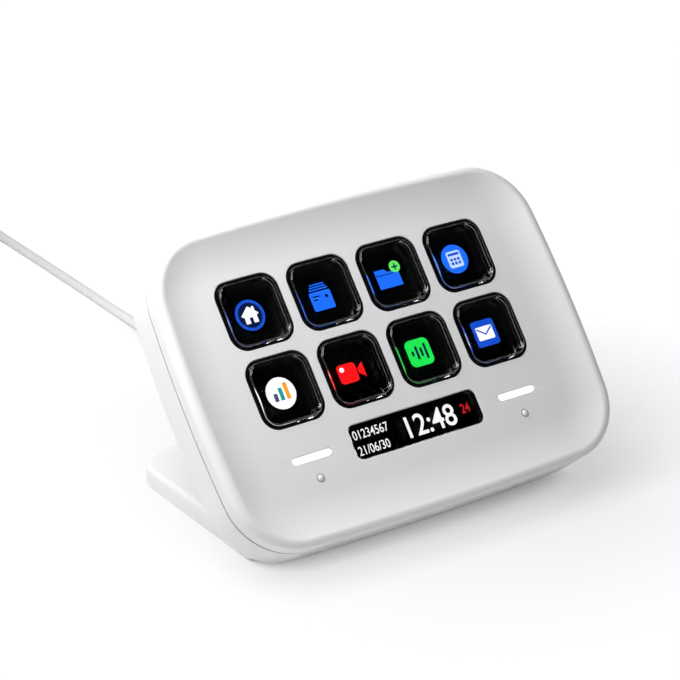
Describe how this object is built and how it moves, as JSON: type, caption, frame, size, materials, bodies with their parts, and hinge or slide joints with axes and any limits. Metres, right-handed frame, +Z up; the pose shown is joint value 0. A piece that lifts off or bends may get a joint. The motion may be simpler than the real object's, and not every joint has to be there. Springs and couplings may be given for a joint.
{
  "type": "screen macro keypad",
  "caption": "Sloping desk macro keypad: clear sprung keys over one screen, an info bar, touch points with light bars, and a captive lead, on a foot plate.",
  "frame": {"origin": "on the table, in the middle of the footprint box of the keypad without its lead", "axes": "+X to the right as its user sees it, +Y away from the user, +Z up"},
  "size_m": [0.106, 0.3043, 0.0671],
  "materials": {
    "shell": "satin moulded ABS",
    "collar": "gloss black",
    "clear_cap": "polished clear polycarbonate",
    "silicone": "translucent silicone",
    "contact_film": "satin polyimide film",
    "screen": "gloss black display glass",
    "diffuser": "matte diffuser film",
    "tray": "bright sheet metal",
    "fastener": "blackened steel",
    "flex": "satin polyimide film",
    "info_glass": "gloss smoked acrylic",
    "info_screen": "gloss display glass",
    "holder": "matte black",
    "light_pipe": "milky acrylic, lit white",
    "lamp": "gloss lamp bodies",
    "spring": "bright plated spring",
    "board": "satin green solder mask",
    "chip": "matte epoxy",
    "connector": "matte ivory nylon",
    "pad": "matte grey rubber",
    "lead": "soft satin vinyl",
    "tie": "matte white band",
    "plug": "satin moulded white",
    "plug_metal": "bright nickel plate"
  },
  "bodies": {
    "base": {"front_shell": "shell", "rear_shell": "shell", "key_grid": "collar", "key_mat": "silicone", "contact_sheet": "contact_film", "screen_panel": "screen", "backlight_sheet": "diffuser", "screen_tray": "tray", "screen_screws": "fastener", "screen_flex": "flex", "info_window": "info_glass", "info_display": "info_screen", "info_holder": "holder", "info_flex": "flex", "light_pipe_left": "light_pipe", "light_pipe_right": "light_pipe", "indicator_leds": "lamp", "touch_spring_left": "spring", "touch_spring_right": "spring", "main_board": "board", "board_screws": "fastener", "processor_chip": "chip", "memory_chip": "chip", "board_connectors": "connector", "inner_lead": "lead", "relief_clip": "fastener", "case_screws": "fastener", "stand": "shell", "stand_screws": "fastener", "foot_pad": "pad", "strain_relief": "lead", "lead": "lead", "lead_coil": "lead", "coil_tie": "tie", "lead_tail": "lead", "plug_body": "plug", "plug_shell": "plug_metal"},
    "key_1": {"key_cap_1": "clear_cap"},
    "key_2": {"key_cap_2": "clear_cap"},
    "key_3": {"key_cap_3": "clear_cap"},
    "key_4": {"key_cap_4": "clear_cap"},
    "key_5": {"key_cap_5": "clear_cap"},
    "key_6": {"key_cap_6": "clear_cap"},
    "key_7": {"key_cap_7": "clear_cap"},
    "key_8": {"key_cap_8": "clear_cap"}
  },
  "joints": [
    {"name": "key_1_press", "type": "slide", "parent": "base", "child": "key_1", "axis": [0, 0.766, -0.6428], "range_m": [0, 0.001], "stiffness_N_per_m": 400, "springref_m": -0.0005},
    {"name": "key_2_press", "type": "slide", "parent": "base", "child": "key_2", "axis": [0, 0.766, -0.6428], "range_m": [0, 0.001], "stiffness_N_per_m": 400, "springref_m": -0.0005},
    {"name": "key_3_press", "type": "slide", "parent": "base", "child": "key_3", "axis": [0, 0.766, -0.6428], "range_m": [0, 0.001], "stiffness_N_per_m": 400, "springref_m": -0.0005},
    {"name": "key_4_press", "type": "slide", "parent": "base", "child": "key_4", "axis": [0, 0.766, -0.6428], "range_m": [0, 0.001], "stiffness_N_per_m": 400, "springref_m": -0.0005},
    {"name": "key_5_press", "type": "slide", "parent": "base", "child": "key_5", "axis": [0, 0.766, -0.6428], "range_m": [0, 0.001], "stiffness_N_per_m": 400, "springref_m": -0.0005},
    {"name": "key_6_press", "type": "slide", "parent": "base", "child": "key_6", "axis": [0, 0.766, -0.6428], "range_m": [0, 0.001], "stiffness_N_per_m": 400, "springref_m": -0.0005},
    {"name": "key_7_press", "type": "slide", "parent": "base", "child": "key_7", "axis": [0, 0.766, -0.6428], "range_m": [0, 0.001], "stiffness_N_per_m": 400, "springref_m": -0.0005},
    {"name": "key_8_press", "type": "slide", "parent": "base", "child": "key_8", "axis": [0, 0.766, -0.6428], "range_m": [0, 0.001], "stiffness_N_per_m": 400, "springref_m": -0.0005}
  ]
}
